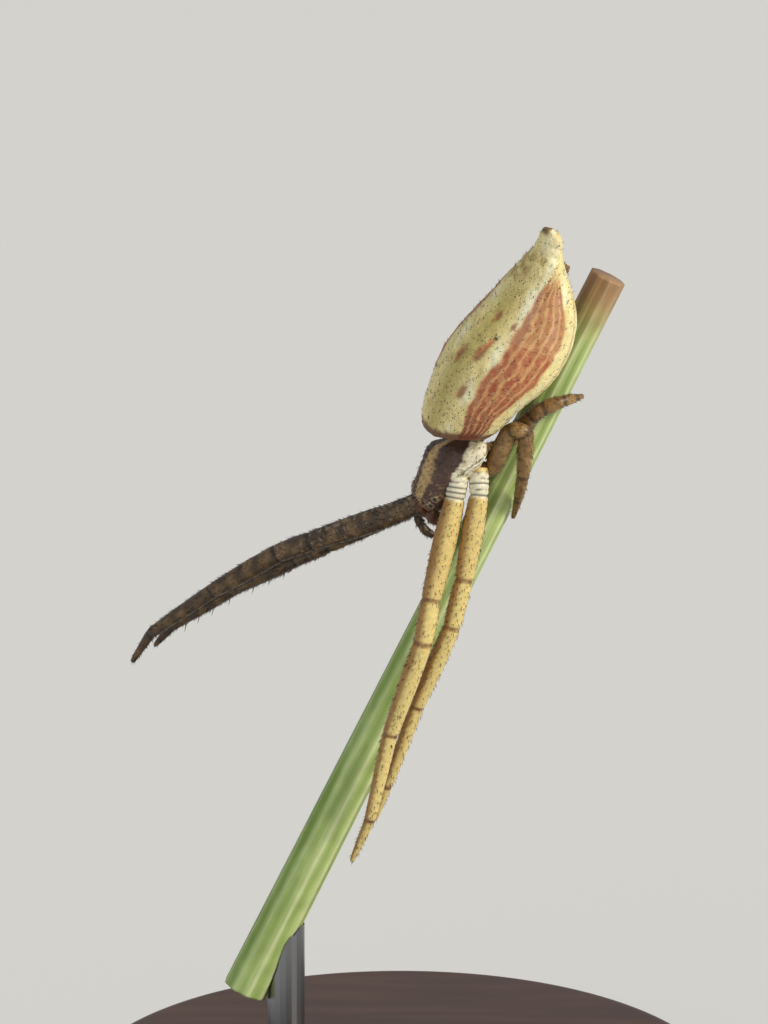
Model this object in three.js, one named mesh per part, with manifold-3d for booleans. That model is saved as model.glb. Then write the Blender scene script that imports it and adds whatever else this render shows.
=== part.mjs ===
// A life-size crab spider that clings head down to a short cut length of grass stem, on a display stand.
// Millimetres, +Z up. The origin is the centre of the base's underside.
// The spider is set out in the stem's own frame: +X down the stem, where the spider faces, +Y to its left
// and +Z out of its back, with the origin on the stem's axis level with the spider's waist.
import * as THREE from "three";
import { mergeVertices } from "three/addons/utils/BufferGeometryUtils.js";
import Module from "manifold-3d";

const wasm = await Module();
wasm.setup();

// Driving dimensions
const JOINT_GAP = 0.06; // between two pieces that meet, in scale with legs 0.7 mm thick
const LEAN = 26; // degrees between the stem and the vertical
const ROLL = 43; // degrees by which the spider's back turns from the front towards the stem's upper side
const WAIST_HEIGHT = 23.4; // of the stem's axis at the waist, above the floor
const WAIST_X = 3.5; // of the same point, to the right of the base's centre

const STEM = { top: -6.6, cut: 19.4, topRadius: 0.58, cutRadius: 0.72, ribs: 9, ribDepth: 0.03 };
const BASE = { radius: 10.5, thickness: 3, edge: 0.5 };
const ROD = { radius: 0.6, along: 16.4 }; // along the stem from the waist

const BODY = { y: -0.45, z: 2.2 }; // the spider's waist, above and beside the stem's axis
const CARAPACE = { rear: 0.05, length: 2.13, roundness: 0.8, slant: 0.4 }; // its rear slants back to the left
const JAW = { x: 2.35, y: -0.6, apart: 0.27 };
const ABDOMEN = { front: -0.46, length: 6.94, wide: 1.08, deep: 0.83, squareness: 2.15 };
const ABDOMEN_FRONT = { overhang: 0.25, slant: 0.35 }; // forward at the top and back at the left

// Colours
const COLOURS = {
  abdomen: 0xd9cf8e,
  carapace: 0x8a6f4a,
  paleLeg: 0xc9a468,
  darkLeg: 0x5e432a,
  shortLeg: 0x8a6438,
  eye: 0x14100e,
  stem: 0x8fb04a,
  wood: 0x5a3d28,
  steel: 0x9a9c9e,
};

function material(colour, roughness = 0.7, metalness = 0) {
  return new THREE.MeshStandardMaterial({ color: colour, roughness, metalness });
}

const at = (x, y, z) => new THREE.Vector3(x, y, z);

// A closed skin over rings of points that run anticlockwise about the way the rings advance.
function skinOver(rings) {
  const sides = rings[0].length;
  const points = rings.flat();
  const faces = [];
  for (let k = 0; k + 1 < rings.length; k++) {
    for (let i = 0; i < sides; i++) {
      const a = k * sides + i;
      const b = k * sides + ((i + 1) % sides);
      faces.push(a, b, b + sides, a, b + sides, a + sides);
    }
  }
  for (const last of [false, true]) {
    const ring = last ? rings.at(-1) : rings[0];
    const first = last ? (rings.length - 1) * sides : 0;
    const middle = points.length;
    points.push(ring.reduce((sum, p) => sum.add(p), at(0, 0, 0)).divideScalar(sides));
    for (let i = 0; i < sides; i++) {
      const a = first + i;
      const b = first + ((i + 1) % sides);
      faces.push(middle, ...(last ? [a, b] : [b, a]));
    }
  }
  const geometry = new THREE.BufferGeometry().setFromPoints(points);
  geometry.setIndex(faces);
  return geometry;
}

function solidOf(geometry) {
  const bare = geometry.clone();
  bare.deleteAttribute("normal");
  bare.deleteAttribute("uv");
  const merged = mergeVertices(bare, 1e-5);
  return new wasm.Manifold(
    new wasm.Mesh({
      numProp: 3,
      vertProperties: new Float32Array(merged.attributes.position.array),
      triVerts: new Uint32Array(merged.index.array),
    }),
  );
}

// The largest closed body of a solid, as a geometry.
function geometryOf(solid) {
  const largest = solid.decompose().reduce((a, b) => (b.volume() > a.volume() ? b : a));
  const mesh = largest.getMesh();
  const geometry = new THREE.BufferGeometry();
  geometry.setAttribute("position", new THREE.BufferAttribute(mesh.vertProperties, 3));
  geometry.setIndex(new THREE.BufferAttribute(mesh.triVerts, 1));
  return geometry;
}

const fused = (solids) => solids.reduce((all, s) => all.add(s));

// Rings of a straight limb from a to b. Each station is [share of the length, radius].
function limb(a, b, stations, sides = 10) {
  const along = b.clone().sub(a).normalize();
  const guide = Math.abs(along.z) > 0.9 ? at(1, 0, 0) : at(0, 0, 1);
  const side = guide.clone().cross(along).normalize();
  const up = along.clone().cross(side);
  return skinOver(
    stations.map(([share, radius]) => {
      const centre = a.clone().lerp(b, share);
      return Array.from({ length: sides }, (_, i) => {
        const turn = (2 * Math.PI * i) / sides;
        return centre
          .clone()
          .addScaledVector(side, radius * Math.cos(turn))
          .addScaledVector(up, radius * Math.sin(turn));
      });
    }),
  );
}

function ball(centre, radius, across = 12, down = 8) {
  return new THREE.SphereGeometry(radius, across, down).translate(centre.x, centre.y, centre.z);
}

// A smooth curve through [share, value] pairs.
function smooth(pairs) {
  return (share) => {
    let k = 0;
    while (k < pairs.length - 2 && share > pairs[k + 1][0]) k++;
    const [x0, y0] = pairs[k];
    const [x1, y1] = pairs[k + 1];
    const slope = (j) => {
      const before = pairs[Math.max(j - 1, 0)];
      const after = pairs[Math.min(j + 1, pairs.length - 1)];
      return (after[1] - before[1]) / (after[0] - before[0]);
    };
    const h = x1 - x0;
    const t = Math.min(Math.max((share - x0) / h, 0), 1);
    return (
      y0 * (1 + 2 * t) * (1 - t) ** 2 +
      slope(k) * h * t * (1 - t) ** 2 +
      y1 * t * t * (3 - 2 * t) +
      slope(k + 1) * h * t * t * (t - 1)
    );
  };
}

const rounded = (value, power) => Math.sign(value) * Math.abs(value) ** power;

// Half the apparent width, from the blunt front, 0, to the tip of the tail, 1.
const abdomenGirth = smooth([
  [0, 1.05],
  [0.04, 1.19],
  [0.17, 1.42],
  [0.34, 1.69],
  [0.5, 1.62],
  [0.64, 1.37],
  [0.73, 1.12],
  [0.82, 0.78],
  [0.9, 0.48],
  [0.97, 0.36],
  [1, 0.22],
]);
// Height of the middle of each cross-section: the belly sags towards the stem and the tail rises.
const abdomenHeight = smooth([
  [0, 2.93],
  [0.17, 2.93],
  [0.4, 2.56],
  [0.6, 2.24],
  [0.74, 2.3],
  [0.87, 2.7],
  [1, 3.1],
]);

const abdomenMiddle = smooth([
  [0, -0.45],
  [0.3, -0.34],
  [0.55, -0.31],
  [0.8, -0.42],
  [1, -0.45],
]);

function abdomenPoint(share, turn) {
  const girth = abdomenGirth(share);
  const power = 2 / ABDOMEN.squareness;
  const height = girth * ABDOMEN.deep * rounded(Math.sin(turn), power);
  const across = girth * ABDOMEN.wide * rounded(Math.cos(turn), power);
  const ahead = ABDOMEN_FRONT.overhang * height - ABDOMEN_FRONT.slant * Math.max(across, 0);
  return at(
    ABDOMEN.front - ABDOMEN.length * share + ahead * (1 - share) ** 2,
    abdomenMiddle(share) + across,
    abdomenHeight(share) + height,
  );
}

function abdomen() {
  const rings = 26;
  const sides = 32;
  const shares = Array.from({ length: rings }, (_, k) => 1 - k / (rings - 1));
  return skinOver(
    shares.map((share) =>
      Array.from({ length: sides }, (_, i) => abdomenPoint(share, (2 * Math.PI * i) / sides)),
    ),
  );
}

// Six short spinnerets in a cluster under the root of the tail.
function spinnerets() {
  const root = abdomenPoint(0.82, -Math.PI / 2).add(at(0, 0, -JOINT_GAP - 0.04));
  const core = limb(root.clone(), root.clone().add(at(-0.1, 0, -0.14)), [
    [0, 0.26],
    [1, 0.2],
  ]);
  const cones = [-1, 0, 1].flatMap((across) =>
    [0, 1].map((behind) => {
      const foot = root.clone().add(at(0.04 - 0.12 * behind, 0.1 * across, -0.04));
      const tip = foot.clone().add(at(-0.18, 0.02 * across, -0.24 + 0.06 * behind));
      return limb(foot, tip, [[0, 0.09], [0.8, 0.07], [1, 0.03]], 6);
    }),
  );
  return geometryOf(fused([core, ...cones].map(solidOf)));
}

// Along the carapace, from its rear edge, 0, to the face, 1: its middle line, which turns a little right,
// then its half width and its heights above and below the waist.
const carapaceMiddle = smooth([
  [0, -0.38],
  [0.22, -0.52],
  [0.5, -0.59],
  [1, -0.67],
]);
const carapaceWidth = smooth([
  [0, 0.74],
  [0.1, 0.93],
  [0.22, 0.97],
  [0.4, 0.84],
  [0.65, 0.72],
  [0.85, 0.66],
  [0.95, 0.55],
  [1, 0.42],
]);
const carapaceTop = smooth([
  [0, 0.34],
  [0.12, 0.56],
  [0.35, 0.68],
  [0.75, 0.62],
  [0.9, 0.48],
  [1, 0.26],
]);
const carapaceBottom = smooth([
  [0, 0.28],
  [0.15, 0.5],
  [0.5, 0.6],
  [0.8, 0.5],
  [1, 0.2],
]);

function carapacePoint(share, turn) {
  const height = Math.sin(turn) > 0 ? carapaceTop(share) : carapaceBottom(share);
  const narrowing = Math.sin(turn) > 0 ? 1 : 1 - 0.2 * Math.abs(Math.sin(turn));
  const across = carapaceWidth(share) * narrowing * rounded(Math.cos(turn), CARAPACE.roundness);
  return at(
    CARAPACE.rear + CARAPACE.length * share - CARAPACE.slant * Math.max(across, 0) * (1 - share) ** 2,
    carapaceMiddle(share) + across,
    BODY.z + height * rounded(Math.sin(turn), CARAPACE.roundness),
  );
}

function carapaceNormal(share, turn) {
  const step = 0.01;
  const along = carapacePoint(share + step, turn).sub(carapacePoint(share - step, turn));
  const round = carapacePoint(share, turn + step).sub(carapacePoint(share, turn - step));
  return round.cross(along).negate().normalize();
}

// Each eye: its name, where it sits on the carapace and its radius. The outer eyes are larger.
const EYES = ["left", "right"].flatMap((side) => {
  const turn = (degrees) => THREE.MathUtils.degToRad(side === "left" ? degrees : 180 - degrees);
  return [
    { name: `eye_front_middle_${side}`, share: 0.94, turn: turn(76), radius: 0.055 },
    { name: `eye_front_side_${side}`, share: 0.92, turn: turn(50), radius: 0.075 },
    { name: `eye_back_middle_${side}`, share: 0.84, turn: turn(74), radius: 0.05 },
    { name: `eye_back_side_${side}`, share: 0.8, turn: turn(46), radius: 0.065 },
  ];
});

function eyeCentre(eye) {
  return carapacePoint(eye.share, eye.turn).addScaledVector(
    carapaceNormal(eye.share, eye.turn),
    eye.radius * 0.35,
  );
}

// The joints of each leg in the stem's frame, from the root at the coxa to the tip of the foot.
// The four long front legs reach ahead: the left pair lies along the stem, the right pair is held out.
// The short back legs grip the stem from both sides.
const LEGS = {
  left_1: {
    hand: 1,
    alongside: true,
    size: 1,
    colour: COLOURS.paleLeg,
    joints: [
      [1.41, 0.27, 2.3],
      [4.53, 1.21, 2.3],
      [5.85, 1.58, 2.15],
      [9.05, 1.65, 1.6],
      [11.89, 2.07, 1.05],
      [13.47, 1.96, 0.75],
    ],
  },
  left_2: {
    hand: 1,
    alongside: true,
    size: 0.93,
    colour: COLOURS.paleLeg,
    joints: [
      [1.0, 0.75, 1.9],
      [3.56, 1.52, 1.65],
      [5.07, 1.82, 1.5],
      [7.99, 1.66, 1.0],
      [10.85, 1.68, 0.5],
      [12.05, 1.72, 0.3],
    ],
  },
  right_1: {
    hand: -1,
    size: 1,
    colour: COLOURS.darkLeg,
    joints: [
      [2.7, -1.42, 1.9],
      [5.27, -3.82, 2.45],
      [6.26, -4.81, 2.4],
      [8.67, -6.7, 2.1],
      [11.33, -8.64, 1.55],
      [12.64, -9.08, 1.2],
    ],
  },
  right_2: {
    hand: -1,
    size: 0.93,
    colour: COLOURS.darkLeg,
    joints: [
      [2.55, -1.75, 1.2],
      [5.29, -3.83, 1.6],
      [6.31, -4.76, 1.52],
      [8.36, -6.58, 1.2],
      [10.94, -8.54, 0.85],
      [11.92, -8.97, 0.66],
    ],
  },
  left_3: {
    size: 0.8,
    colour: COLOURS.shortLeg,
    joints: [
      [0.22, 0.43, 1.45],
      [-1.3, 0.66, 1.92],
      [-1.45, 1.06, 1.6],
      [-0.01, 1.09, 0.75],
      [0.89, 0.88, 0.1],
      [1.6, 0.67, -0.4],
    ],
  },
  left_4: {
    size: 0.76,
    colour: COLOURS.shortLeg,
    joints: [
      [-0.4, -0.02, 1.0],
      [-1.85, 0.65, 1.14],
      [-2.27, 0.88, 1.12],
      [-2.71, 1.15, 0.75],
      [-2.88, 1.15, 0.25],
      [-2.97, 1.07, -0.2],
    ],
  },
  right_3: {
    size: 0.8,
    colour: COLOURS.shortLeg,
    joints: [
      [0.3, -1.3, 1.45],
      [-1.2, -1.75, 1.8],
      [-1.35, -2.1, 1.45],
      [0.0, -1.55, 0.6],
      [0.9, -1.0, 0.05],
      [1.6, -0.72, -0.35],
    ],
  },
  right_4: {
    size: 0.76,
    colour: COLOURS.shortLeg,
    joints: [
      [-0.35, -0.92, 1.0],
      [-1.85, -1.55, 1.12],
      [-2.3, -1.7, 1.0],
      [-2.7, -1.45, 0.65],
      [-2.9, -1.05, 0.2],
      [-3.0, -0.8, -0.25],
    ],
  },
};
const SEGMENTS = ["femur", "patella", "tibia", "metatarsus", "tarsus"];
// Radii of a full-size leg: at the near end, in the middle and at the far end of each segment.
const GIRTHS = {
  femur: [0.3, 0.37, 0.31],
  patella: [0.3, 0.32, 0.3],
  tibia: [0.3, 0.31, 0.25],
  metatarsus: [0.24, 0.23, 0.18],
  tarsus: [0.17, 0.14, 0.08],
};
const SPINES = { tibia: 3, metatarsus: 4 }; // pairs under each long leg
const SPINE = { length: 0.34, root: 0.05, splay: 0.5, inward: 0.9 };

const points = (leg) => leg.joints.map((j) => at(...j));

// How far a segment's end keeps from its joint: half the gap, and more where the leg bends.
function endTrim(joints, k, radius) {
  if (k === 0 || k === joints.length - 1) return k === 0 ? JOINT_GAP : 0;
  const before = joints[k].clone().sub(joints[k - 1]);
  const after = joints[k + 1].clone().sub(joints[k]);
  return JOINT_GAP / 2 + radius * Math.tan(before.angleTo(after) / 2);
}

function legSegment(leg, name) {
  const joints = points(leg);
  const k = SEGMENTS.indexOf(name);
  const [near, middle, far] = GIRTHS[name].map((r) => r * leg.size);
  const blunt = 0.72;
  const along = joints[k + 1].clone().sub(joints[k]).normalize();
  const a = joints[k].clone().addScaledVector(along, endTrim(joints, k, near * 0.85));
  const b = joints[k + 1].clone().addScaledVector(along, -endTrim(joints, k + 1, far * 0.85));
  const round = Math.min(0.5 * near, 0.2 * a.distanceTo(b)) / a.distanceTo(b);
  const solid = solidOf(
    limb(a, b, [[0, near * blunt], [round, near], [0.4, middle], [1 - round, far], [1, far * blunt]]),
  );
  if (!(name in SPINES) || leg.size < 0.9) return geometryOf(solid);
  return geometryOf(fused([solid, ...spinesUnder(a, b, name, middle, leg.hand)]));
}

// The room a femur needs at its root.
function femurRoom(leg) {
  const [root, knee] = points(leg);
  const along = knee.clone().sub(root).normalize();
  const [near, middle] = GIRTHS.femur.map((r) => r * leg.size + JOINT_GAP);
  const end = root.clone().addScaledVector(along, 1.6);
  return limb(root, end, [[0, near * 0.8], [0.1, near], [1, middle]]);
}

// Pairs of spines under a segment, leaning towards the foot. The front legs are turned so that their
// undersides face each other.
function spinesUnder(a, b, name, radius, hand) {
  const along = b.clone().sub(a).normalize();
  const side = at(0, 0, 1).cross(along).normalize();
  const down = side.clone().cross(along);
  const under = down.clone().addScaledVector(side, -hand * SPINE.inward).normalize();
  const across = under.clone().cross(along);
  return Array.from({ length: SPINES[name] }, (_, k) => (k + 0.8) / (SPINES[name] + 0.6)).flatMap(
    (share) =>
      [-1, 1].map((row) => {
        const out = under.clone().addScaledVector(across, row * SPINE.splay).normalize();
        const root = a.clone().lerp(b, share).addScaledVector(out, radius * 0.55);
        const tip = root
          .clone()
          .addScaledVector(out, SPINE.length * 0.75)
          .addScaledVector(along, SPINE.length * 0.7);
        return solidOf(limb(root, tip, [[0, SPINE.root], [0.6, SPINE.root * 0.7], [1, 0.012]], 4));
      }),
  );
}

// Where the first joint of a leg starts inside the body. The long left legs lie alongside the body.
function coxaStart(leg) {
  const [x, y, z] = leg.joints[0];
  if (leg.alongside) return at(x - 0.7, BODY.y + 0.62 * (y - BODY.y), z + 0.03);
  return at(0.55 * x + 0.45, BODY.y + 0.35 * (y - BODY.y), BODY.z - 0.25);
}

// The short first joints of the legs, thickened by a margin.
function coxae(margin) {
  return Object.values(LEGS).map((leg) => {
    const root = at(...leg.joints[0]);
    const inner = coxaStart(leg);
    const radius = GIRTHS.femur[0] * leg.size;
    const radii = [radius, radius * 1.08, radius * 0.8].map((r) => r + margin);
    return limb(inner, root, [[0, radii[0]], [0.75, radii[1]], [1, radii[2]]]);
  });
}

// The front body with a coxa for each leg and a socket for each eye.
function frontBody() {
  const rings = 20;
  const sides = 28;
  const shell = skinOver(
    Array.from({ length: rings }, (_, k) =>
      Array.from({ length: sides }, (_, i) =>
        carapacePoint(1 - (1 - k / (rings - 1)) ** 1.15, (2 * Math.PI * i) / sides),
      ),
    ),
  );
  const sockets = EYES.map((eye) => ball(eyeCentre(eye), eye.radius + JOINT_GAP / 2, 10, 6));
  const hollows = [...sockets, ...Object.values(LEGS).map(femurRoom)];
  return geometryOf(fused([shell, ...coxae(0)].map(solidOf)).subtract(fused(hollows.map(solidOf))));
}

// A jaw with its fang folded inward, hanging in front of the mouth.
function chelicera(hand) {
  const top = at(JAW.x, JAW.y + hand * JAW.apart, BODY.z - 0.02);
  const low = at(JAW.x + 0.1, JAW.y + hand * (JAW.apart - 0.02), BODY.z - 0.86);
  const fangTip = at(JAW.x - 0.06, JAW.y + hand * 0.08, BODY.z - 1.02);
  const jaw = limb(top, low, [[0, 0.17], [0.25, 0.23], [0.75, 0.19], [1, 0.1]]);
  const fang = limb(low.clone().add(at(0, 0, 0.06)), fangTip, [[0, 0.07], [1, 0.02]], 6);
  return geometryOf(fused([jaw, fang].map(solidOf)).subtract(frontRoom()));
}

const frontShell = () =>
  skinOver(
    Array.from({ length: 14 }, (_, k) =>
      Array.from({ length: 20 }, (_, i) => {
        const p = carapacePoint(k / 13, (2 * Math.PI * i) / 20);
        const middle = at(p.x, carapaceMiddle(k / 13), BODY.z);
        return p.sub(middle).multiplyScalar(1.09).add(middle).add(at(k === 13 ? JOINT_GAP : 0, 0, 0));
      }),
    ),
  );
const frontRoom = () => fused([frontShell(), ...coxae(JOINT_GAP)].map(solidOf));

// A feeler beside the jaws, bent inward at its knee.
const PALPS = {
  left: [[2.13, 0.1, 1.6], [2.63, 0.17, 1.42], [2.98, 0, 1.12], [3.13, -0.26, 0.85]],
  right: [[2.38, -1.2, 1.6], [2.88, -1.32, 1.4], [3.16, -1.08, 1.12], [3.22, -0.76, 0.86]],
};

function palp(joints) {
  const path = new THREE.CatmullRomCurve3(joints.map((j) => at(...j)));
  const rings = 9;
  const sides = 8;
  const girth = smooth([[0, 0.13], [0.35, 0.15], [0.7, 0.14], [0.92, 0.12], [1, 0.06]]);
  const solid = skinOver(
    Array.from({ length: rings }, (_, k) => {
      const share = k / (rings - 1);
      const along = path.getTangentAt(share);
      const side = at(0, 0, 1).cross(along).normalize();
      const up = along.clone().cross(side);
      return Array.from({ length: sides }, (_, i) => {
        const turn = (2 * Math.PI * i) / sides;
        return path
          .getPointAt(share)
          .addScaledVector(side, girth(share) * Math.cos(turn))
          .addScaledVector(up, girth(share) * Math.sin(turn));
      });
    }),
  );
  return geometryOf(solidOf(solid).subtract(frontRoom()));
}

// The narrow stalk between the two halves of the body.
function waist() {
  const rear = at(ABDOMEN.front - 0.04, BODY.y, 2.32);
  const front = at(CARAPACE.rear - 3.5 * JOINT_GAP, BODY.y, BODY.z);
  return limb(rear, front, [[0, 0.2], [1, 0.22]]);
}

function stemRings(extra) {
  const rings = 14;
  const sides = STEM.ribs * 2;
  return skinOver(
    Array.from({ length: rings }, (_, k) => {
      const share = k / (rings - 1);
      const radius = THREE.MathUtils.lerp(STEM.topRadius, STEM.cutRadius, share) + extra;
      return Array.from({ length: sides }, (_, i) => {
        const turn = (2 * Math.PI * i) / sides;
        const r = radius - (i % 2 ? STEM.ribDepth : 0);
        return at(
          THREE.MathUtils.lerp(STEM.top, STEM.cut, share),
          r * Math.cos(turn),
          r * Math.sin(turn),
        );
      });
    }),
  );
}

function baseDisc() {
  const { radius, thickness, edge } = BASE;
  const outline = [
    [0, 0],
    [radius - edge, 0],
    [radius, edge],
    [radius, thickness - edge],
    [radius - edge, thickness],
    [0, thickness],
  ].map(([x, y]) => new THREE.Vector2(x, y));
  return new THREE.LatheGeometry(outline, 48).rotateX(Math.PI / 2);
}

// The stem's frame in the part's frame.
const lean = THREE.MathUtils.degToRad(LEAN);
const roll = THREE.MathUtils.degToRad(ROLL);
const forward = at(-Math.sin(lean), 0, -Math.cos(lean));
const upperSide = at(-Math.cos(lean), 0, Math.sin(lean));
const back = upperSide.clone().multiplyScalar(Math.sin(roll)).add(at(0, -Math.cos(roll), 0));
const placement = new THREE.Matrix4()
  .makeBasis(forward, back.clone().cross(forward), back)
  .setPosition(WAIST_X, 0, WAIST_HEIGHT);

function rod() {
  const foot = at(0, 0, BASE.thickness + JOINT_GAP);
  const meets = at(ROD.along, 0, 0).applyMatrix4(placement);
  foot.setX(meets.x);
  const pin = limb(foot, meets, [[0, ROD.radius], [1, ROD.radius]], 20);
  const stem = stemRings(JOINT_GAP).applyMatrix4(placement);
  return geometryOf(solidOf(pin).subtract(solidOf(stem)));
}

const part = new THREE.Group();
const specimen = new THREE.Group();
specimen.applyMatrix4(placement);
part.add(specimen);

function add(group, name, geometry, finish) {
  const mesh = new THREE.Mesh(geometry, finish);
  mesh.name = name;
  group.add(mesh);
}

add(specimen, "abdomen", abdomen(), material(COLOURS.abdomen));
add(specimen, "spinnerets", spinnerets(), material(COLOURS.carapace));
add(specimen, "waist", waist(), material(COLOURS.carapace));
add(specimen, "front_body", frontBody(), material(COLOURS.carapace));
for (const eye of EYES) {
  const { x, y, z } = eyeCentre(eye);
  add(specimen, eye.name, ball(at(x, y, z), eye.radius, 10, 6), material(COLOURS.eye, 0.15));
}
for (const [side, hand] of [["left", 1], ["right", -1]]) {
  add(specimen, `chelicera_${side}`, chelicera(hand), material(COLOURS.carapace));
  add(specimen, `palp_${side}`, palp(PALPS[side]), material(COLOURS.darkLeg));
}
for (const [name, leg] of Object.entries(LEGS)) {
  for (const segment of SEGMENTS) {
    add(specimen, `leg_${name}_${segment}`, legSegment(leg, segment), material(leg.colour));
  }
}
add(specimen, "perch_stem", stemRings(0), material(COLOURS.stem));
add(part, "stand_rod", rod(), material(COLOURS.steel, 0.3, 1));
add(part, "stand_base", baseDisc(), material(COLOURS.wood));

export default part;
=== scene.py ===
"""The looks of a life-size crab spider that clings head down to a cut grass stem, on a plain stand.

Shapes are set out in millimetres in the stem's own frame: +X down the stem, where the spider faces, +Y to
its left and +Z out of its back, with the origin on the stem's axis at the waist. place() turns them into the
part's metres.
"""

import itertools
import math

import bpy
import numpy as np
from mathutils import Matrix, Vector


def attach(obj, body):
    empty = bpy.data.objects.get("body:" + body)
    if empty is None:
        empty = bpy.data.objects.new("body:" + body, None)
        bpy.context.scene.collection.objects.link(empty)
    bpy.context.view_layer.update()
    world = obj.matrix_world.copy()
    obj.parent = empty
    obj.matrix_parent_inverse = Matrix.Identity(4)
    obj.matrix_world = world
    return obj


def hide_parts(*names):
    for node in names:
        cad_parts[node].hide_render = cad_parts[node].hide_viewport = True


bl_info = {
    "name": "Crab spider on a grass stem",
    "version": (1, 0, 0),
    "blender": (4, 5, 0),
    "location": "View3D > Sidebar > Spider",
    "description": "Builds the skin, eyes, bristles, stem and stand of a life-size crab spider model",
    "category": "Object",
}

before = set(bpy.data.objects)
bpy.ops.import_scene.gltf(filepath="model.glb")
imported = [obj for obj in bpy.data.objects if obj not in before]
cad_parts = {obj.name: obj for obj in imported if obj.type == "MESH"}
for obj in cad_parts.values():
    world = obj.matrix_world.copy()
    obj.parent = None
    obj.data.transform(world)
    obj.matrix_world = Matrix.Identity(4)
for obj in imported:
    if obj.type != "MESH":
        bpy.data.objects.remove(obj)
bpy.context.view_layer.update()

MM = 0.001
LEAN = math.radians(26)  # between the stem and the vertical
ROLL = math.radians(43)  # turn of the spider's back from the front towards the stem's upper side
WAIST = np.array([3.5, 0.0, 23.4])  # of the stem's axis at the waist, in the part's frame

BODY_Y = -0.45
BODY_Z = 2.2
JAW_X, JAW_Y = 2.35, -0.6
PALE, DARK, OLIVE = "pale", "dark", "olive"

FORWARD = np.array([-math.sin(LEAN), 0, -math.cos(LEAN)])
UPPER_SIDE = np.array([-math.cos(LEAN), 0, math.sin(LEAN)])
BACK = math.sin(ROLL) * UPPER_SIDE + np.array([0, -math.cos(ROLL), 0])
LEFT = np.cross(BACK, FORWARD)


def place(points):
    """Points of the stem's frame, in mm, as points of the part's frame, in metres."""
    p = np.asarray(points, float)
    return (WAIST + p[..., :1] * FORWARD + p[..., 1:2] * LEFT + p[..., 2:3] * BACK) * MM


def turned(directions):
    """Directions of the stem's frame as directions of the part's frame."""
    d = np.asarray(directions, float)
    return d[..., :1] * FORWARD + d[..., 1:2] * LEFT + d[..., 2:3] * BACK


# Colours


def linear(colour):
    """An sRGB hex colour such as "d9cf8e" as three linear numbers."""
    parts = [int(colour[i : i + 2], 16) / 255 for i in (0, 2, 4)]
    return tuple(c / 12.92 if c <= 0.04045 else ((c + 0.055) / 1.055) ** 2.4 for c in parts)


def tone(label, colour, text):
    return bpy.props.FloatVectorProperty(
        name=label, description=text, default=linear(colour), subtype="COLOR", size=3, min=0, max=1
    )


def measure(label, size, text):
    return bpy.props.FloatProperty(name=label, description=text, default=size * MM, unit="LENGTH")


class SpiderSettings(bpy.types.PropertyGroup):
    """Sizes and colours of the spider, its stem and its stand."""

    cream: tone("Cream", "ead792", "Ground colour of the abdomen")
    green_cream: tone("Greenish cream", "bcab5e", "Cooler ground colour along the abdomen's back")
    rust: tone("Rust stripes", "a4502f", "Lengthwise stripes on the flanks")
    stripe_gold: tone("Gold between stripes", "cf9c66", "Thin lines between the rust stripes")
    rim_brown: tone("Rim brown", "6b4024", "Front rim of the abdomen and its dimples")
    shield_tan: tone("Shield tan", "c2a06a", "Middle band of the front body")
    shield_dark: tone("Shield brown", "4f3527", "Bands beside the middle one")
    shield_cream: tone("Shield cream", "e8dfc0", "Sides of the front body and skin between leg joints")
    face: tone("Face", "84502a", "Face and jaws")
    leg_tan: tone("Leg tan", "bd9650", "Long left legs")
    # Partly the legs' own pale streak, partly painted light on the face the key light falls on
    leg_yellow: tone("Leg yellow", "e6cf84", "Pale streak along the long left legs")
    # Partly the right legs' own dark brown, partly painted shade: they lie on the shaded side
    leg_brown_and_shade: tone("Leg brown", "4c3720", "Long right legs")
    leg_olive: tone("Leg olive", "8c6a3a", "Short hind legs")
    joint_brown: tone("Joint brown", "7a4420", "Rings at the leg joints")
    bristle: tone("Bristle", "2a1d14", "Bristles and spines")
    eye: tone("Eye", "0d0a09", "Eyes")
    # Also the painted light on the stem's lit side
    stem_light: tone("Stem light", "c3d489", "Ribs of the stem")
    stem_green: tone("Stem green", "7f9c3e", "Furrows and shaded side of the stem")
    stem_red: tone("Stem red", "a8654e", "Flush at the stem's upper end")
    wood: tone("Wood", "4c3222", "Stained wood of the base")
    steel: tone("Steel", "8d8f92", "Rod")
    floor: tone("Floor", "e4e2dd", "Floor and backdrop")

    bristle_length: measure("Bristle length", 0.13, "Of the short bristles")
    bristle_width: measure("Bristle width", 0.011, "At the root")
    bristle_count: bpy.props.FloatProperty(
        name="Bristles per square mm", description="Where they are densest", default=90
    )
    spine_length: measure("Spine length", 0.42, "Under the long legs")
    seed: bpy.props.IntProperty(name="Seed", description="Of all random spreads", default=7)
    camera_lens: bpy.props.FloatProperty(name="Lens", description="Focal length in mm", default=200.25)


# Numbers


def smooth(*pairs):
    """A smooth curve through (share, value) pairs."""
    xs, ys = (np.array(v, float) for v in zip(*pairs))
    last = len(xs) - 1
    slopes = np.array(
        [
            (ys[min(j + 1, last)] - ys[max(j - 1, 0)]) / (xs[min(j + 1, last)] - xs[max(j - 1, 0)])
            for j in range(last + 1)
        ]
    )

    def curve(x):
        x = np.asarray(x, float)
        k = np.clip(np.searchsorted(xs, x) - 1, 0, last - 1)
        h = xs[k + 1] - xs[k]
        t = np.clip((x - xs[k]) / h, 0, 1)
        return (
            ys[k] * (1 + 2 * t) * (1 - t) ** 2
            + slopes[k] * h * t * (1 - t) ** 2
            + ys[k + 1] * t * t * (3 - 2 * t)
            + slopes[k + 1] * h * t * t * (t - 1)
        )

    return curve


def rounded(value, power):
    return np.sign(value) * np.abs(value) ** power


def ramp(x, low, high):
    """0 below low, 1 above high, smooth between."""
    t = np.clip((x - low) / (high - low), 0, 1)
    return t * t * (3 - 2 * t)


def bump(x, middle, half):
    """1 at the middle, 0 beyond half on either side."""
    return 1 - ramp(np.abs(x - middle), 0, half)


def from_back(turn):
    """Degrees round to the left of the middle of the back."""
    return (90 - np.degrees(turn) + 180) % 360 - 180


def unit(v):
    return v / np.linalg.norm(v)


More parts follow.
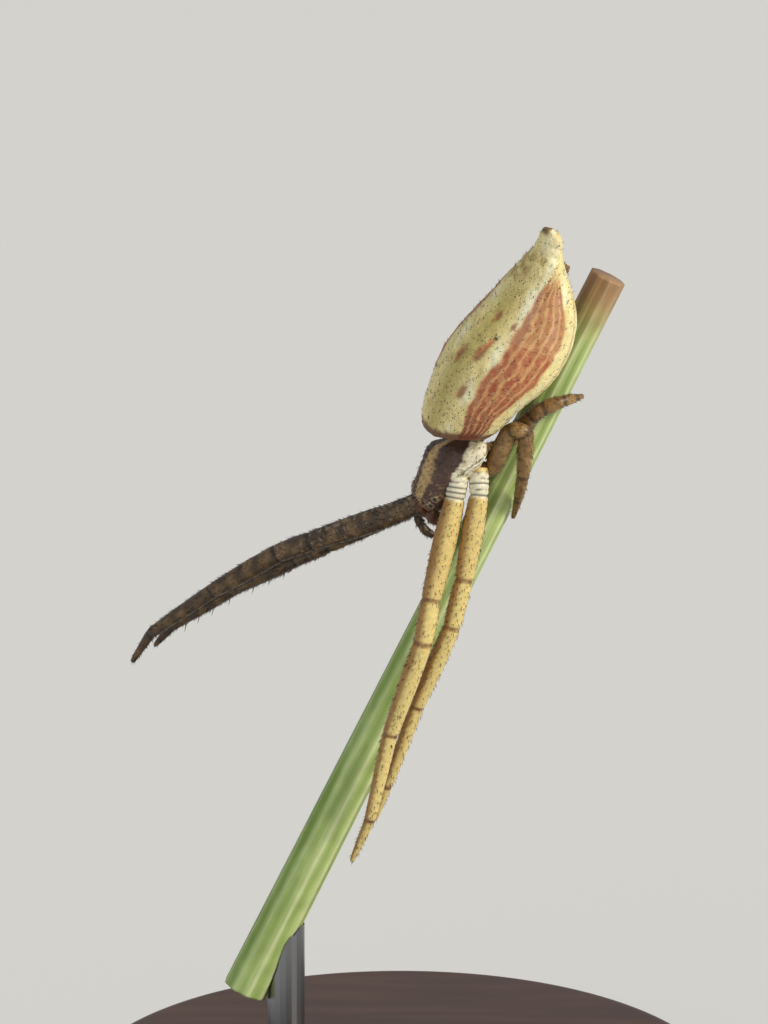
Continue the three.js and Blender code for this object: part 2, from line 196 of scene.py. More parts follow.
def waver(p, size, seed):
    """Smooth noise between about -1 and 1 with features of that size, in mm."""
    rng = np.random.default_rng(seed)
    total = np.zeros(np.asarray(p).shape[:-1])
    for _ in range(7):
        way = unit(rng.normal(size=3))
        turn = 2 * math.pi / size * rng.uniform(0.6, 1.5)
        total += np.sin((p @ way) * turn + rng.uniform(0, 6.28))
    return total / 3.5


def cloud(p, size, seed, low, high):
    """Soft blotches of that size: 0 where the noise is below low, 1 where it is above high."""
    return ramp(waver(p, size, seed), low, high)


def around(shares, cols):
    """Grids of the share along a form and of the turn round it."""
    return np.meshgrid(shares, np.linspace(0, 2 * math.pi, cols, endpoint=False), indexing="ij")


def mix(a, b, share):
    """Colour a going to colour b, each as linear numbers or as an sRGB hex colour."""
    a, b = (linear(colour) if isinstance(colour, str) else colour for colour in (a, b))
    share = np.asarray(share)[..., None]
    return np.asarray(a) * (1 - share) + np.asarray(b) * share


def layered(tint, *layers):
    """A colour with further ones laid over it in turn, each with its share."""
    for colour, share in layers:
        tint = mix(tint, colour, share)
    return tint


# Meshes


def with_middles(field):
    """A grid's values as one list that ends with the means of its first and last rows."""
    middles = [field[end].mean(0)[None] for end in (0, -1)]
    return np.concatenate([field.reshape(-1, field.shape[-1]), *middles])


class Shell:
    """Closed forms gathered into one mesh, with their markings at each vertex."""

    def __init__(self):
        self.points, self.faces, self.uvs = [], [], []
        self.marks = {"tint": [], "speck": [], "hair": [], "lean": []}
        self.count = 0

    def grid(self, rings, tile, tint, speck=0.0, hair=0.0, lean=(1.0, 0, 0)):
        """Adds rings, closed at both ends. tile is low u, low v, high u and high v of their unwrap."""
        rows, cols = rings.shape[:2]
        points = with_middles(rings)
        u0, v0, u1, v1 = tile
        k, i = np.meshgrid(np.arange(rows - 1), np.arange(cols), indexing="ij")
        here, after = k * cols, (i + 1) % cols
        quads = np.stack([here + i, here + after, here + cols + after, here + cols + i], -1)
        across = u0 + (u1 - u0) * np.stack([i, i + 1, i + 1, i], -1) / cols
        along = v0 + (v1 - v0) * np.stack([k, k, k + 1, k + 1], -1) / (rows - 1)
        blocks = [(quads.reshape(-1, 4), np.stack([across, along], -1).reshape(-1, 4, 2))]
        ring, after = np.arange(cols), after[0]
        last = (rows - 1) * cols
        for corners, steps, v in (
            ((np.full(cols, rows * cols), after, ring), (0.5, 1, 0), v0),
            ((np.full(cols, rows * cols + 1), last + ring, last + after), (0.5, 0, 1), v1),
        ):
            u = u0 + (u1 - u0) * (ring[:, None] + steps) / cols
            blocks.append((np.stack(corners, -1), np.stack([u, np.full_like(u, v)], -1)))
        a, b, c = (points[quads[..., n]] - points.mean(0) for n in range(3))
        if (a * np.cross(b - a, c - a)).sum() < 0:
            blocks = [(faces[:, ::-1], uv[:, ::-1]) for faces, uv in blocks]
        for faces, uv in blocks:
            self.faces += (faces + self.count).tolist()
            self.uvs.append(uv.reshape(-1, 2))
        self.points.append(points)
        self.count += len(points)
        numbers = {"speck": np.clip(speck, 0, 1)[..., None], "hair": np.clip(hair, 0, 1)[..., None]}
        for name, value in {"tint": np.clip(tint, 0, 1), "lean": np.array(lean), **numbers}.items():
            self.marks[name].append(with_middles(np.broadcast_to(value, (rows, cols, value.shape[-1]))))

    def object(self, name, material):
        mesh = bpy.data.meshes.new(name)
        mesh.from_pydata(place(np.concatenate(self.points)).tolist(), [], self.faces)
        mesh.uv_layers.new(name="OFBake").data.foreach_set("uv", np.concatenate(self.uvs).ravel())
        marks = {key: np.concatenate(values) for key, values in self.marks.items()}
        for key, kind, field, values in (
            ("tint", "FLOAT_COLOR", "color", np.insert(marks["tint"], 3, 1, axis=1)),
            ("speck", "FLOAT", "value", marks["speck"]),
            ("hair", "FLOAT", "value", marks["hair"]),
            ("lean", "FLOAT_VECTOR", "vector", turned(marks["lean"])),
        ):
            mesh.attributes.new(key, kind, "POINT").data.foreach_set(field, values.ravel())
        return finished(mesh, name, material)


def added(name, data):
    """An object of that data, in the scene."""
    thing = bpy.data.objects.new(name, data)
    bpy.context.scene.collection.objects.link(thing)
    return thing


def finished(mesh, name, material):
    """An object of a finished mesh, smooth, in the scene and riding on the part."""
    mesh.polygons.foreach_set("use_smooth", [True] * len(mesh.polygons))
    mesh.materials.clear()
    mesh.materials.append(material)
    mesh.update()
    thing = added(name, mesh)
    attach(thing, "root")
    return thing


def joined(forms, name, material):
    """Plain closed forms, each (points in mm of the stem's frame, faces), as one object."""
    points, faces, count = [], [], 0
    for form_points, form_faces in forms:
        points.append(place(form_points))
        faces += [[n + count for n in f] for f in form_faces]
        count += len(form_points)
    mesh = bpy.data.meshes.new(name)
    mesh.from_pydata(np.concatenate(points).tolist(), [], faces)
    return finished(mesh, name, material)


def ring_faces(rows, cols):
    quads = [
        [k * cols + i, k * cols + (i + 1) % cols, (k + 1) * cols + (i + 1) % cols, (k + 1) * cols + i]
        for k in range(rows - 1)
        for i in range(cols)
    ]
    return [list(range(cols))[::-1]] + quads + [list(range((rows - 1) * cols, rows * cols))]


def frames_along(path):
    """Unit tangents, sides and ups along a path, turned as little as can be."""
    tangents = np.gradient(path, axis=0)
    tangents /= np.linalg.norm(tangents, axis=1)[:, None]
    up = np.array([0, 0, 1.0]) if abs(tangents[0][2]) < 0.9 else np.array([1.0, 0, 0])
    sides, ups = [], []
    for t in tangents:
        up = unit(up - t * (up @ t))
        ups.append(up)
        sides.append(np.cross(up, t))
    return tangents, np.array(sides), np.array(ups)


def tube(path, radii, cols):
    """Rings round a path, with their outward directions and the path's tangents."""
    tangents, sides, ups = frames_along(path)
    turn = np.linspace(0, 2 * math.pi, cols, endpoint=False)[None, :, None]
    out = np.cos(turn) * sides[:, None] + np.sin(turn) * ups[:, None]
    return path[:, None] + out * radii[:, None, None], out, tangents


def with_ends(shares, first, last):
    """Shares with rows that repeat the first and last ones, and how far each row is into those ends."""
    before = np.linspace(-1, 0, first + 1)[:-1]
    after = np.linspace(0, 1, last + 1)[1:]
    into = np.concatenate([before, np.zeros(len(shares)), after])
    return np.concatenate([np.full(first, shares[0]), shares, np.full(last, shares[-1])]), into


def domed(rings, into, reach):
    """Closes a form's ends as low domes that reach that far, in mm along X, where into isn't zero."""
    turn = (into * 1.5)[:, None, None]
    middle = rings.mean(1, keepdims=True)
    out = middle + (rings - middle) * np.cos(turn) ** 0.7
    out[..., :1] += reach * np.sin(turn)
    return out


def horn(root, tip, radius, bend, cols=6, rows=5):
    """A curved pointed spine as (points, faces). bend is the sideways offset of its middle."""
    share = np.linspace(0, 1, rows)
    path = root + (tip - root) * share[:, None] + bend * (4 * share * (1 - share))[:, None]
    rings, _, _ = tube(path, radius * (1 - share * 0.93) ** 0.8, cols)
    return rings.reshape(-1, 3), ring_faces(rows, cols)


# Abdomen

ABDOMEN = {
    "front": -0.46, "length": 7.1, "wide": 1.08, "deep": 0.83,
    "power": 2 / 2.15, "overhang": 0.25, "slant": 0.35,
}
ABDOMEN_MIDDLE = smooth((0, -0.45), (0.3, -0.34), (0.55, -0.31), (0.8, -0.42), (1, -0.45))
ABDOMEN_GIRTH = smooth(
    (0, 1.05), (0.04, 1.19), (0.17, 1.42), (0.34, 1.69), (0.5, 1.62), (0.64, 1.37),
    (0.73, 1.12), (0.82, 0.78), (0.9, 0.48), (0.97, 0.36), (1, 0.22),
)
ABDOMEN_HEIGHT = smooth((0, 2.93), (0.17, 2.93), (0.4, 2.56), (0.6, 2.24), (0.74, 2.3), (0.87, 2.7), (1, 3.1))
# Dimples of the back: share of the length, degrees to the left of the middle, length and width in mm, depth
DIMPLES = [
    (0.225, 10, 0.36, 0.17, 0.03),
    (0.36, -15, 0.42, 0.16, 0.035),
    (0.405, 3, 0.42, 0.2, 0.05),
    (0.565, -6, 0.3, 0.13, 0.03),
    (0.56, 16, 0.22, 0.1, 0.02),
]


def abdomen_surface(share, turn, swell=0.0):
    girth = ABDOMEN_GIRTH(share) + swell
    height = girth * ABDOMEN["deep"] * rounded(np.sin(turn), ABDOMEN["power"])
    across = girth * ABDOMEN["wide"] * rounded(np.cos(turn), ABDOMEN["power"])
    ahead = ABDOMEN["overhang"] * height - ABDOMEN["slant"] * np.maximum(across, 0)
    return np.stack(
        [
            ABDOMEN["front"] - ABDOMEN["length"] * share + ahead * (1 - share) ** 2,
            ABDOMEN_MIDDLE(share) + across,
            ABDOMEN_HEIGHT(share) + height,
        ],
        -1,
    )


def abdomen(shell, s):
    rows, cols = 250, 160
    shares, into = with_ends(1 - np.linspace(0, 1, rows), 0, 12)
    share, turn = around(shares, cols)
    flat = abdomen_surface(share, turn)
    left = from_back(turn)
    side = np.abs(left + 12)
    wave = waver(flat * [1, 1.5, 1.5], 1.6, 11) * 1.6 + waver(flat * [0.5, 1, 1], 0.35, 12) * 1.6
    grain = waver(flat, 0.09, 21)

    # Rust stripes on each flank run from the front rim and close in on the root of the tail.
    upper = smooth(
        (0, 50), (0.1, 44), (0.2, 38), (0.3, 35), (0.45, 34), (0.6, 34), (0.72, 38), (0.82, 56), (1, 90)
    )(share)
    lower = smooth((0, 88), (0.3, 92), (0.6, 97), (0.82, 84), (1, 95))(share)
    across = (side + wave - upper) / (lower - upper)
    zone = ramp(across, -0.03, 0.03) * (1 - ramp(across, 0.93, 1.02))
    zone = zone * (1 - ramp(share + 0.02 * grain, 0.76, 0.86))
    stripe = ramp(np.cos(across * 2 * math.pi * 5 + math.pi + 0.5 * waver(flat, 0.5, 22)), -0.95, -0.25)
    broken = np.clip(0.78 + 0.3 * waver(flat * [0.4, 1, 1], 0.2, 13) + 0.16 * grain, 0.2, 1)
    ground = mix(s.cream, s.green_cream, bump(left, -8, 22) * 0.9 * (1 - ramp(share, 0.62, 0.8)))
    yellowing = cloud(flat, 0.5, 23, -0.6, 0.5)
    ground = layered(
        ground,
        ("f6f0c8", cloud(flat * [0.3, 1, 1], 0.6, 14, 0.0, 0.8) * 0.75 * ramp(np.abs(left + 8), 14, 26)),
        ("a8873c", cloud(flat * [0.5, 1, 1], 0.4, 15, 0.3, 1.1) * (0.3 + 0.5 * bump(share, 0.78, 0.18))),
        ("a07a34", bump(share, 0.8, 0.14) * (1 - ramp(left, -25, 22)) * yellowing * 0.8),
        ("fbf5d6", bump(left, 24, 16) * bump(share, 0.62, 0.26) * 0.7),
    )
    flank = layered(
        s.stripe_gold,
        (s.rust, stripe * broken),
        ("6e2c1a", (1 - ramp(share, 0.0, 0.22)) * 0.6 * stripe),
        ("e9c58a", ramp(grain, 0.75, 1.3) * 0.5),
    )
    tint = mix(ground, flank, zone * (0.86 + 0.14 * (share < 0.5)))
    # A pale rim below the stripes, then a yellow-brown belly.
    tint = mix(tint, "efe0a2", bump(side, 106, 12) * 0.9)
    tint = mix(tint, "a98a4c", ramp(side, 122, 160) * 0.8)
    tint = mix(tint, "7c5a33", bump(side, 116 + wave * 0.6, 2.6) * 0.5 * (share < 0.86))
    # Brown rim along the blunt front, reddish where the stripes start.
    rim = 1 - ramp(share + 0.004 * waver(flat, 0.3, 16), 0.012, 0.04)
    tint = mix(tint, s.rim_brown, rim * 0.95)
    tint = mix(tint, "7a2f1c", rim * zone * 0.6)
    # Dimples, the nearest with an orange streak that runs to a dark point.
    relief = -0.012 * (stripe - 0.5) * zone + 0.006 * grain
    girth = ABDOMEN_GIRTH(share)
    for where, angle, long, wide, deep in DIMPLES:
        dx = (share - where) * ABDOMEN["length"]
        dy = np.radians(left - angle) * girth
        spot = 1 - ramp(np.hypot(dx / long, dy / wide) * (1 + 0.12 * waver(flat, 0.2, 17)), 0.35, 1)
        tint = mix(tint, "9a5a30", spot * 0.85)
        relief -= deep * spot
    dx = (share - 0.45) * ABDOMEN["length"]
    dy = np.radians(left - 5 - dx * 7) * girth
    streak = 1 - ramp(np.hypot(dx / 0.34, dy / 0.11), 0.4, 1)
    tint = mix(tint, "cf7a45", streak * 0.9)
    dx = (share - 0.487) * ABDOMEN["length"]
    dy = np.radians(left - 8) * girth
    point = 1 - ramp(np.hypot(dx / 0.1, dy / 0.07), 0.3, 1)
    tint = mix(tint, "2c1d14", point)
    relief -= 0.05 * streak
    relief += 0.035 * bump(share, 0.475, 0.035) * bump(left, -2, 9)
    # The tail: pale with a brown tip and fine wrinkles round it.
    tint = mix(tint, "f2e6b4", bump(share, 0.92, 0.07) * bump(left, 28, 60))
    tint = mix(tint, "6e4a24", ramp(share, 0.955, 0.975) * (1 - ramp(left, -10, 25)) * 0.9)
    relief -= 0.012 * ramp(share, 0.8, 0.9) * (0.5 + 0.5 * np.sin(share * 150)) * (share < 0.985)
    relief += 0.012 * waver(flat, 0.5, 18)
    tint = tint * (1 + 0.07 * waver(flat, 0.22, 19))[..., None]

    speck = 0.34 + 0.2 * waver(flat, 0.9, 20) + 0.2 * bump(left, 0, 28) + 0.2 * bump(share, 0.08, 0.1)
    speck *= (1 - 0.6 * ramp(side, 110, 140)) * (1 - 0.5 * zone)
    rings = abdomen_surface(share, turn, relief)
    # The tip is closed off round.
    tip = ramp(share, 0.985, 1)
    middle = rings.mean(1, keepdims=True)
    rings = middle + (rings - middle) * (1 - 0.75 * tip**2)[..., None]
    rings = domed(rings, into, 0.16)
    tint = mix(np.clip(tint, 0, 1), "8d7346", ramp(into, 0.3, 0.8)[:, None])
    shell.grid(rings, (0, 0, 0.5, 0.5), tint, speck, 0.1, (-1.0, 0, 0))


# Front body

SHIELD = {"rear": 0.05, "length": 2.13, "power": 0.8, "slant": 0.4, "lap": 0.28}
SHIELD_MIDDLE = smooth((0, -0.38), (0.22, -0.52), (0.5, -0.59), (1, -0.67))
SHIELD_WIDTH = smooth(
    (0, 0.74), (0.1, 0.93), (0.22, 0.97), (0.4, 0.84), (0.65, 0.72), (0.85, 0.66), (0.95, 0.55), (1, 0.42)
)
SHIELD_TOP = smooth((0, 0.34), (0.12, 0.56), (0.35, 0.68), (0.75, 0.62), (0.9, 0.48), (1, 0.26))
SHIELD_BOTTOM = smooth((0, 0.28), (0.15, 0.5), (0.5, 0.6), (0.8, 0.5), (1, 0.2))
# Eyes of one side: share along the shield, degrees up from the side, radius
EYES = [(0.94, 76, 0.055), (0.92, 50, 0.075), (0.84, 74, 0.05), (0.8, 46, 0.065)]


def shield_surface(share, turn, swell=0.0):
    above = np.sin(turn) > 0
    height = np.where(above, SHIELD_TOP(share), SHIELD_BOTTOM(share)) + swell
    waist = np.where(above, 1, 1 - 0.2 * np.abs(np.sin(turn)))
    across = (SHIELD_WIDTH(share) + swell) * waist * rounded(np.cos(turn), SHIELD["power"])
    behind = SHIELD["slant"] * np.maximum(across, 0) * (1 - share) ** 2
    behind = behind + SHIELD["lap"] * (1 - share) ** 5 * ramp(across, -0.9, -0.1)
    return np.stack(
        [
            SHIELD["rear"] + SHIELD["length"] * share - behind,
            SHIELD_MIDDLE(share) + across,
            BODY_Z + height * rounded(np.sin(turn), SHIELD["power"]),
        ],
        -1,
    )


def shield_out(share, turn):
    step = 0.01
    along = shield_surface(share + step, turn) - shield_surface(share - step, turn)
    round_ = shield_surface(share, turn + step) - shield_surface(share, turn - step)
    return unit(-np.cross(round_, along))


def eye_list():
    """Centre, outward direction and radius of each eye."""
    found = []
    for mirror in (False, True):
        for share, degrees, radius in EYES:
            turn = math.radians(180 - degrees if mirror else degrees)
            out = shield_out(share, turn)
            found.append((shield_surface(np.array(share), np.array(turn)) + out * radius * 0.5, out, radius))
    return found


def front_body(shell, s):
    rows, cols = 110, 130
    shares, into = with_ends(1 - (1 - np.linspace(0, 1, rows)) ** 1.1, 8, 8)
    share, turn = around(shares, cols)
    flat = shield_surface(share, turn)
    left = from_back(turn)
    middle = smooth((0, -20), (0.1, -19), (0.4, -13), (0.6, -8), (1, -5))(share)
    half = smooth((0, 5), (0.1, 7), (0.45, 12), (0.7, 11), (1, 8))(share)
    wave = waver(flat, 0.5, 31) * 2.5 + waver(flat, 0.15, 30) * 2
    off = left - middle + wave
    band = 1 - ramp(np.abs(off), half - 2, half + 4)
    tan = mix(s.shield_tan, "8f6f42", cloud(flat * [1, 3, 3], 0.35, 32, -0.1, 1) * 0.7)
    dark = mix(s.shield_dark, "6a4a3a", cloud(flat, 0.25, 37, 0.1, 1.1) * 0.6)
    mottled = ramp(waver(flat, 0.12, 38) * 0.7 + waver(flat, 0.3, 39), 0.1, 1.2)
    dark = mix(dark, "9c7d58", mottled * ramp(share, 0.4, 0.65) * 0.8)
    tint = mix(dark, tan, band)
    tint = mix(tint, "9b7a4e", (1 - ramp(off, -62, -40)) * 0.35)
    # Cream sides reach furthest up at the rear.
    edge = smooth((0, 45), (0.14, 53), (0.29, 57), (0.42, 60), (0.55, 80))(share)
    sides = ramp(np.abs(off), edge - 2, edge + 3) * (1 - ramp(share, 0.44, 0.56))
    tint = mix(tint, s.shield_cream, sides)
    tint = mix(tint, "b5a37c", sides * cloud(flat, 0.3, 33, 0.1, 1) * 0.6)
    # A slanting crease, a pale fold between two thin dark lines, crosses each side.
    crease_at = smooth((0, 124), (0.07, 122), (0.22, 94), (0.36, 87), (0.46, 75), (0.66, 71))(share)
    crease = np.abs(off) - crease_at
    rear = share < 0.6
    line = np.maximum(bump(crease, -7, 3.2), bump(crease, 6, 3.2)) * rear
    tint = mix(tint, "f3ebd0", bump(crease, 0, 7) * rear * 0.9)
    tint = mix(tint, "3d2f24", line * 0.85)
    # Darker, grainy head with an orange-brown face and pale rings round the eyes.
    grain = waver(flat, 0.16, 34)
    tint = mix(tint, "33231a", ramp(share, 0.66, 0.86) * ramp(grain, -0.4, 0.6) * 0.65 * (1 - 0.6 * band))
    face = ramp(share, 0.955, 0.995) * (np.abs(left) < 100)
    tint = mix(tint, s.face, face * 0.8)
    relief = 0.03 * bump(crease, 0, 8) * rear - 0.02 * line + 0.012 * grain
    relief -= 0.03 * bump(off, 0, 5) * bump(share, 0.28, 0.1)
    # Eyes stand on low swellings, those of the outer eyes pale.
    for centre, _, radius in eye_list():
        away = np.linalg.norm(flat - centre, axis=-1)
        relief += 0.035 * (1 - ramp(away, radius * 1.1, radius * 2.4)) - 0.03 * (1 - ramp(away, 0, radius))
        pale = 0.8 if radius > 0.06 else 0.2
        blotch = away * (1 + 0.25 * waver(flat, 0.12, 40))
        tint = mix(tint, "b9a27a", (1 - ramp(blotch, radius * 1.2, radius * 2.3)) * pale)
        tint = mix(tint, "2e1d12", (1 - ramp(blotch, radius * 1.0, radius * 1.45)) * 0.9)
    below = np.abs(left) > 100
    tint = np.where(below[..., None], mix("a67c48", s.shield_dark, cloud(flat, 0.5, 35, 0, 1) * 0.5), tint)
    tint = tint * (1 + 0.08 * waver(flat, 0.12, 36))[..., None]
    speck = 0.28 + 0.3 * ramp(share, 0.6, 0.9) + 0.15 * (1 - sides)
    hair = 0.15 + 0.75 * ramp(share, 0.72, 0.95)
    rings = domed(shield_surface(share, turn, relief), into, 0.1)
    shell.grid(rings, (0.5, 0, 1, 0.25), tint, speck, hair, (1.0, 0, 0.2))


def waist(shell, s):
    path = np.linspace([-0.75, BODY_Y, 2.45], [0.35, BODY_Y, 2.2], 24)
    rings, _, _ = tube(path, np.full(24, 0.2), 24)
    shell.grid(rings, (0.5, 0.25, 0.6, 0.3), s.rim_brown)


# Legs

# Joints from the root at the coxa to the tip of the foot
LEGS = {
    "left_1": (1.0, PALE, 1, [
        (1.41, 0.27, 2.3), (4.53, 1.21, 2.3), (5.85, 1.58, 2.15),
        (9.05, 1.65, 1.6), (11.89, 2.07, 1.05), (13.47, 1.96, 0.75),
    ]),
    "left_2": (0.93, PALE, 1, [
        (1.0, 0.75, 1.9), (3.56, 1.52, 1.65), (5.07, 1.82, 1.5),
        (7.99, 1.66, 1.0), (10.85, 1.68, 0.5), (12.05, 1.72, 0.3),
    ]),
    "right_1": (1.0, DARK, -1, [
        (2.7, -1.42, 1.9), (5.27, -3.82, 2.45), (6.26, -4.81, 2.4),
        (8.67, -6.7, 2.1), (11.33, -8.64, 1.55), (12.64, -9.08, 1.2),
    ]),
    "right_2": (0.93, DARK, -1, [
        (2.55, -1.75, 1.2), (5.29, -3.83, 1.6), (6.31, -4.76, 1.52),
        (8.36, -6.58, 1.2), (10.94, -8.54, 0.85), (11.92, -8.97, 0.66),
    ]),
    "left_3": (0.8, OLIVE, 1, [
        (0.22, 0.43, 1.45), (-1.3, 0.66, 1.92), (-1.45, 1.06, 1.6),
        (-0.01, 1.09, 0.75), (0.89, 0.88, 0.1), (1.6, 0.67, -0.4),
    ]),
    "left_4": (0.76, OLIVE, 1, [
        (-0.4, -0.02, 1.0), (-1.85, 0.65, 1.14), (-2.27, 0.88, 1.12),
        (-2.71, 1.15, 0.75), (-2.88, 1.15, 0.25), (-2.97, 1.07, -0.2),
    ]),
    "right_3": (0.8, OLIVE, -1, [
        (0.3, -1.3, 1.45), (-1.2, -1.75, 1.8), (-1.35, -2.1, 1.45),
        (0.0, -1.55, 0.6), (0.9, -1.0, 0.05), (1.6, -0.72, -0.35),
    ]),
    "right_4": (0.76, OLIVE, -1, [
        (-0.35, -0.92, 1.0), (-1.85, -1.55, 1.12), (-2.3, -1.7, 1.0),
        (-2.7, -1.45, 0.65), (-2.9, -1.05, 0.2), (-3.0, -0.8, -0.25),
    ]),
}
SEGMENTS = ["femur", "patella", "tibia", "metatarsus", "tarsus"]
FOLD = 0.17  # between the folds of skin at the roots of the long left legs
# Radii of a full-size leg at the near end, in the middle and at the far end of each segment
GIRTHS = {
    "coxa": (0.31, 0.33, 0.31),
    "femur": (0.315, 0.375, 0.31),
    "patella": (0.3, 0.32, 0.3),
    "tibia": (0.3, 0.31, 0.25),
    "metatarsus": (0.24, 0.23, 0.18),
    "tarsus": (0.17, 0.14, 0.08),
}


def leg_path(joints, rows, alongside):
    """Evenly spaced points along a leg with its bends rounded, and how far along each one is, in segments."""
    root = joints[0]
    inner = np.array([0.55 * root[0] + 0.45, BODY_Y + 0.35 * (root[1] - BODY_Y), BODY_Z - 0.25])
    if alongside:
        inner = np.array([root[0] - 0.7, BODY_Y + 0.62 * (root[1] - BODY_Y), root[2] + 0.03])
    line = np.vstack([inner, joints])
    lengths = np.linalg.norm(np.diff(line, axis=0), axis=1)
    ends = np.concatenate([[0], np.cumsum(lengths)])
    reach = np.linspace(0, ends[-1], rows)
    spread = 0.16
    path = np.zeros((rows, 3))
    offsets = np.linspace(-1, 1, 9)
    for o in offsets:
        room = np.minimum(spread, np.minimum(reach, ends[-1] - reach))
        at = reach + o * room
        path += np.stack([np.interp(at, ends, line[:, n]) for n in range(3)], -1)
    return path / len(offsets), reach, ends


def leg_colours(kind, s, rings, out, reach, ends, part):
    """Colour, speck density and bristle density over a leg's rings. part is each ring's segment, from 0."""
    part, reach = part[:, None], reach[:, None]
    left, back = out[..., 1], out[..., 2]
    fine = waver(rings, 0.18, 51)
    if kind == PALE:
        tint = mix(s.leg_tan, "a87638", cloud(rings * [0.35, 1, 1], 0.5, 52, 0, 1) * 0.6)
        # Painted shade: darker on the side that faces away from the key light
        tint = mix(tint, "96692f", ramp(-left * 0.9 + back * 0.3, -0.1, 0.5) * 0.7)
        # The pale streak faces the key light: partly the legs' own marking, partly painted light
        streak = ramp(left * 0.85 + back * 0.3 + 0.06 * fine, 0.5, 0.72)
        tint = mix(tint, s.leg_yellow, streak * np.where(part < 2, 0.75, 0.95))
        line = bump(left * 0.75 + back * 0.1, 0.36, 0.1) * (part < 2.5)
        tint = mix(tint, "8a5c30", line * 0.4 * ramp(fine, -0.3, 0.5))
        speck = np.where(part < 2, 0.13, np.where(part < 4, 0.08, 0.04)) + 0.4 * line
        hair = np.where(part < 2, 0.25, 0.35)
        ring_colour = s.joint_brown
    elif kind == DARK:
        # Painted light: the top of each right leg, where the key light falls, is lighter
        above = ramp(waver(rings * [0.5, 1, 1], 0.5, 53) + 0.7 * back, 0.1, 1.4)
        tint = mix(s.leg_brown_and_shade, "84663c", above * 0.7)
        # Painted shade: the underside of each right leg is near black
        tint = mix(tint, "1c140c", ramp(waver(rings, 0.3, 54) * 0.6 - 0.7 * back, 0.0, 0.9) * 0.85)
        tint = mix(tint, "a8967a", ramp(fine + 0.5 * back, 0.9, 1.4) * 0.6 * (part < 3))
        speck, hair, ring_colour = 0.45, np.where(back < 0, 1.0, 0.6), "241812"
    else:
        # Pale blotches, more of them towards +Y where the key light falls: that lean is painted light
        tint = mix(s.leg_olive, "c09a62", ramp(waver(rings, 0.4, 55) + 0.5 * left, 0.3, 1.4) * 0.6)
        tint = mix(tint, "4e3820", cloud(rings, 0.22, 56, 0.35, 1.1) * 0.6)
        speck, hair, ring_colour = 0.4, 0.4, "4a2f18"
    # Rings at the joints
    away = np.abs(reach - ends[1:-1])
    ring = (bump(away.min(1), 0.02, 0.09) * (away.argmin(1) > 0))[:, None]
    tint = mix(tint, ring_colour, np.clip(ring * (0.8 + 0.3 * fine), 0, 1))
    # Pale folded skin crossed by dark lines between the body and the first long segment
    if kind == PALE:
        fold = reach - ends[1]
        zone = ramp(fold, -0.75, -0.6) * (1 - ramp(fold + 0.05 * fine, 0.0, 0.14))
        tint = mix(tint, s.shield_cream, zone)
        lines = ramp(np.cos(fold * 2 * math.pi / FOLD + 0.6 * fine), 0.62, 0.9)
        tint = mix(tint, "2e2119", zone * lines * 0.85)
        speck = speck * (1 - zone)
        hair = hair * (1 - zone)
    return tint * (1 + 0.08 * fine)[..., None], speck, hair


def leg(shell, s, name, tile):
    size, kind, _, joints = LEGS[name]
    rows, cols = (250, 22) if kind != OLIVE else (130, 20)
    path, reach, ends = leg_path(np.array(joints), rows, kind == PALE)
    part = np.clip(np.searchsorted(ends, reach) - 1, 0, 5)
    length = ends[part + 1] - ends[part]
    inside = (reach - ends[part]) / length
    radii = np.zeros(rows)
    for n, segment in enumerate(["coxa", *SEGMENTS]):
        near, middle, far = (r * size for r in GIRTHS[segment])
        here = part == n
        t = inside[here]
        body = smooth((0, near), (0.4, middle), (1, far))(t)
        from_end = np.minimum(t, 1 - t) * length[here]
        pinch = 0.1 if segment != "tarsus" else 0.04
        if segment == "coxa":
            from_end = (1 - t) * length[here]
        body *= 1 - pinch * (1 - ramp(from_end, 0.0, 0.1))
        if segment == "tarsus":
            body *= np.sqrt(1 - ramp(t, 0.9, 1.02) ** 2 * 0.9)
        radii[here] = body
    rings, out, tangents = tube(path, radii, cols)
    fold = reach - ends[1]
    ripple = 0.012 * np.cos(fold * 2 * math.pi / FOLD) * (np.abs(fold + 0.3) < 0.34) * (kind == PALE)
    rings = rings - out * ripple[:, None, None]
    tint, speck, hair = leg_colours(kind, s, rings, out, reach, ends, part)
    shell.grid(rings, tile, tint, speck, hair, tangents[:, None])


# Jaws and feelers

PALPS = {
    "left": [
        (1.9, -0.05, 1.75), (2.13, 0.1, 1.6), (2.63, 0.17, 1.42), (2.98, 0, 1.12), (3.13, -0.26, 0.85),
    ],
    "right": [
        (2.1, -1.05, 1.75), (2.38, -1.2, 1.6), (2.88, -1.32, 1.4), (3.16, -1.08, 1.12), (3.22, -0.76, 0.86),
    ],
}


def eased(points, rows):
    """A smooth path through points."""
    p = np.array(points, float)
    ends = np.concatenate([[0], np.cumsum(np.linalg.norm(np.diff(p, axis=0), axis=1))])
    t = np.linspace(0, ends[-1], rows)
    return np.stack([smooth(*zip(ends, p[:, n]))(t) for n in range(3)], -1)


def limb(shell, corners, girth, cols, colours, seed, lift, tile, speck, hair):
    """A short limb through those corners, mottled between two colours."""
    t = np.linspace(0, 1, 60)
    rings, _, tangents = tube(eased(corners, len(t)), girth(t), cols)
    ground, blotch, share = colours
    tint = mix(ground, blotch, ramp(waver(rings, 0.3, seed) + lift, 0, 1) * share)
    shell.grid(rings, tile, tint, speck, hair, tangents[:, None])


def jaw_point(hand, ahead, apart, up):
    return np.array([JAW_X + ahead, JAW_Y + hand * apart, BODY_Z + up])


def palp_girth(t):
    girth = smooth((0, 0.12), (0.3, 0.145), (0.5, 0.13), (0.7, 0.145), (0.92, 0.12), (1, 0.03))(t)
    return girth - 0.02 * (bump(t, 0.45, 0.05) + bump(t, 0.68, 0.05))


